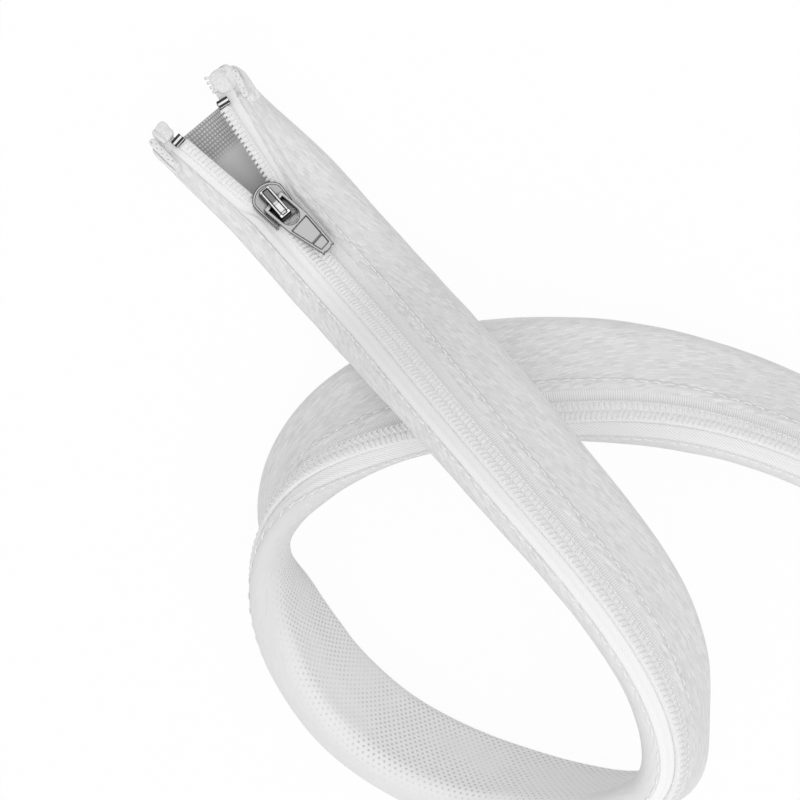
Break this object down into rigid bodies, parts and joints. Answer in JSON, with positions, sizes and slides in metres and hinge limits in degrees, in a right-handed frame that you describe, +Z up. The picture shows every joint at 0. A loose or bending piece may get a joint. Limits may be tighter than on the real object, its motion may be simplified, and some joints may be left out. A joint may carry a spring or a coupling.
{
  "type": "zippered cable sleeve",
  "caption": "Flat woven cable sleeve with a coil zipper along its top, lying in a loose loop with its mouth unzipped.",
  "frame": {"origin": "on the floor, on the sleeve's flat underside below the zipper's middle line, just behind the slider", "axes": "+X along the zipper from the open mouth towards the loop, +Y to the left as seen from the mouth, +Z up out of the zipper's face"},
  "size_m": [0.1983, 0.158, 0.0556],
  "materials": {
    "woven_white": "woven polyester, matt",
    "tape_white": "fine herringbone tape",
    "coil_nylon": "nylon filament, slight sheen",
    "dark_nickel": "gunmetal plating",
    "bright_nickel": "nickel plating"
  },
  "bodies": {
    "sleeve": {"sleeve_mouth": "woven_white", "sleeve_tail": "woven_white", "sleeve_rise": "woven_white", "sleeve_bridge": "woven_white", "sleeve_front_bend": "woven_white", "sleeve_front_turn": "woven_white", "sleeve_floor_run": "woven_white", "sleeve_back_turn": "woven_white", "sleeve_underpass": "woven_white", "sleeve_exit": "woven_white", "sleeve_far_end": "woven_white", "left_tape": "tape_white", "right_tape": "tape_white", "left_coil": "coil_nylon", "right_coil": "coil_nylon", "bottom_stop": "bright_nickel"},
    "left_flap": {"left_lip": "woven_white", "left_tape_end": "tape_white", "left_coil_end": "coil_nylon", "left_top_stop": "bright_nickel", "left_tape_tail": "tape_white"},
    "right_flap": {"right_lip": "woven_white", "right_tape_end": "tape_white", "right_coil_end": "coil_nylon", "right_top_stop": "bright_nickel", "right_tape_tail": "tape_white"},
    "slider": {"slider_body": "dark_nickel", "slider_crown": "dark_nickel", "lock_spring": "bright_nickel"},
    "pull": {"pull_tab": "bright_nickel"}
  },
  "joints": [
    {"name": "slider_travel", "type": "slide", "parent": "sleeve", "child": "slider", "axis": [-1, 0, 0], "range_m": [0, 0.0206], "deforming": ["left_tape_end", "left_coil_end", "right_tape_end", "right_coil_end"]},
    {"name": "left_swing", "type": "hinge", "parent": "sleeve", "child": "left_flap", "pos_m": [0.01, 0, 0.0085], "axis": [0, 0, 1], "range_deg": [0, 8]},
    {"name": "right_swing", "type": "hinge", "parent": "sleeve", "child": "right_flap", "pos_m": [0.01, 0, 0.0085], "axis": [0, 0, -1], "range_deg": [0, 8]},
    {"name": "pull_swing", "type": "hinge", "parent": "slider", "child": "pull", "pos_m": [-0.002, 0, 0.01203], "axis": [0.1392, -0.9903, 0], "range_deg": [0, 150]}
  ],
  "couplings": [
    {"joint": "left_swing", "follows": "slider_travel", "rad_per_m": 6.778},
    {"joint": "right_swing", "follows": "slider_travel", "rad_per_m": 6.778}
  ]
}
